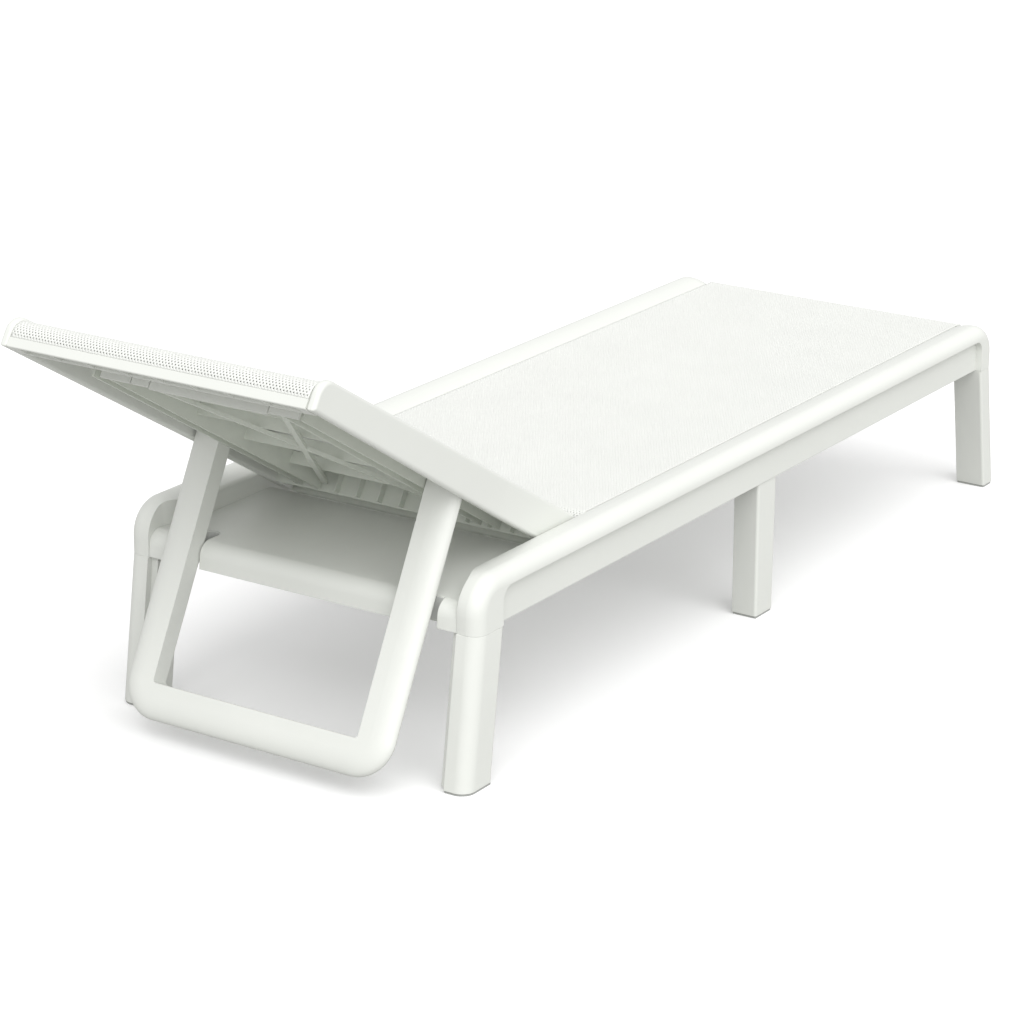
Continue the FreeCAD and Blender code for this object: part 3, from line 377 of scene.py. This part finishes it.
def mesh_object(name, points, faces, material):
    """A smooth mesh. A face that names a corner twice, as at a panel's corners, loses the repeat."""
    mesh = bpy.data.meshes.new(name)
    mesh.from_pydata(points.tolist(), [], [list(dict.fromkeys(face)) for face in faces.tolist()])
    mesh.polygons.foreach_set("use_smooth", [True] * len(mesh.polygons))
    mesh.materials.append(material)
    mesh.update()
    made = bpy.data.objects.new(name, mesh)
    bpy.context.scene.collection.objects.link(made)
    return made


def perforated_panel(name, path, half_width, to_frame, sag):
    """A stretched panel: its pattern follows the path, between sides half_width(position) apart."""
    columns = round(2 * half_width(path.at(np.array([path.length / 2])))[0] / hole_pitch)
    rows = round(path.length / hole_row_pitch)
    pattern, quads = honeycomb(columns, rows, hole_radius / hole_pitch, hole_radius / hole_row_pitch)
    across = pattern[:, 0] / columns * 2 - 1
    along = pattern[:, 1] / rows * path.length
    narrow = float(half_width(path.at(np.array([0.0])))[0])
    across = np.where(abs(across) < 1, across * (1 - plain_hem / narrow), across)
    inside = (pattern[:, 1] > 0) & (pattern[:, 1] < rows)
    along = np.where(inside, plain_hem + along * (1 - 2 * plain_hem / path.length), along)
    place = path.at(along)
    place[:, 1] -= sag * (1 - across ** 2) * np.sin(math.pi * along / path.length)
    points = to_frame(place, across * half_width(place))
    panel = mesh_object(name, points, quads, materials["mesh_fabric"])
    samples = path.at(np.linspace(0, path.length, 200))
    mean_width = 2 * float(np.mean(half_width(samples)))
    thick = panel.modifiers.new("yarn_thickness", "SOLIDIFY")
    thick.thickness = yarn_thickness
    thick.offset = 0
    return panel, mean_width


def seat_panel():
    """Seat mesh: from under the head crossbar, over it, along the seat and around the foot crossbar."""
    low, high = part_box("seat_sling")
    t = sheet_half_thickness
    radius = (high.z - low.z) / 2 - t
    turn = radius - turn_slack
    top, under = high.z - t, low.z + t
    start, end = low.x + t, high.x - t
    path = Path([(start + radius + seat_turn_under, under, 0), (start, under, turn), (start, top, turn),
                 (end, top, turn), (end, under, turn), (end - radius - seat_turn_under, under, 0)])

    def to_frame(place, across):
        return np.stack([place[:, 0], across, place[:, 1]], 1)

    def half_width(place):
        return np.full(len(place), high.y)

    panel, width = perforated_panel("seat_mesh", path, half_width, to_frame, seat_sag)
    return panel, (width, path.length)


def back_panel():
    """Backrest mesh: over the lower rail, up the back and around the rolled head end."""
    low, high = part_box("back_sling")
    t = sheet_half_thickness
    tail = back_tail_reach + t
    head = back_head_reach - t
    path = Path([(tail, back_hem_rise, 0), (tail, back_top_tail - t, back_tail_roll - t),
                 (head, back_top_head - t, back_head_roll - t), (head, back_lip_rise, 0)])
    head_half = high.y
    lower_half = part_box("back_lower_rail")[1].y - lower_rail_inset

    def half_width(place):
        share = np.clip((place[:, 0] - back_flare_start) / (back_head_reach - back_flare_start), 0, 1)
        return lower_half + (head_half - lower_half) * share

    def to_frame(place, across):
        reach, rise = place[:, 0], place[:, 1]
        x = hinge.x - reach * math.cos(rest_angle) + rise * math.sin(rest_angle)
        z = hinge.z + reach * math.sin(rest_angle) + rise * math.cos(rest_angle)
        return np.stack([x, across, z], 1)

    panel, width = perforated_panel("back_mesh", path, half_width, to_frame, back_sag)
    return panel, (width, path.length)


def panels():
    """Both stretched panels, riding on their bodies."""
    seat, seat_flat = seat_panel()
    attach(seat, "frame")
    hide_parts("seat_sling")
    back, back_flat = back_panel()
    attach(back, "backrest")
    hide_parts("back_sling")


# ---------------------------------------------------------------- stage
def stage():
    """White studio floor, soft sky and one wide lamp."""
    floor_material = Shader("studio_floor", floor_white, 0.9)
    floor_material.roughness(floor_material.noise(2.0), 0.85, 0.95)
    floor_material.lift_for_camera(floor_glow, floor_bounce)
    points = np.array([(-1, -1, 0), (1, -1, 0), (1, 1, 0), (-1, 1, 0)], float) * floor_half
    floor = mesh_object("studio_floor", points, np.array([(0, 1, 2, 3)]), floor_material.material)
    world = bpy.data.worlds.new("studio")
    world.use_nodes = True
    sky = world.node_tree.nodes["Background"]
    sky.inputs["Color"].default_value = (1, 1, 1, 1)
    sky.inputs["Strength"].default_value = sky_strength
    bpy.context.scene.world = world
    lamp = bpy.data.objects.new("wide_lamp", bpy.data.lights.new("wide_lamp", "SUN"))
    lamp.data.energy = lamp_strength
    lamp.data.angle = lamp_spread
    lamp.rotation_euler = lamp_from.to_track_quat("Z", "Y").to_euler()
    bpy.context.scene.collection.objects.link(lamp)


def camera():
    """The camera, from its place and three angles."""
    forward = Vector((math.cos(camera_yaw) * math.cos(camera_pitch),
                      math.sin(camera_yaw) * math.cos(camera_pitch), -math.sin(camera_pitch)))
    right = Vector((math.sin(camera_yaw), -math.cos(camera_yaw), 0))
    up = right.cross(forward)
    turned_right = right * math.cos(camera_roll) + up * math.sin(camera_roll)
    turned_up = up * math.cos(camera_roll) - right * math.sin(camera_roll)
    axes = Matrix((turned_right, turned_up, -forward)).transposed().to_4x4()
    eye = bpy.data.objects.new("camera", bpy.data.cameras.new("camera"))
    eye.matrix_world = Matrix.Translation(camera_place) @ axes
    eye.data.lens = camera_lens
    eye.data.sensor_width = camera_sensor
    eye.data.clip_end = camera_sight
    bpy.context.scene.collection.objects.link(eye)
    bpy.context.scene.camera = eye


dress_frame()
panels()
stage()
camera()
bpy.context.scene.view_settings.view_transform = "Standard"
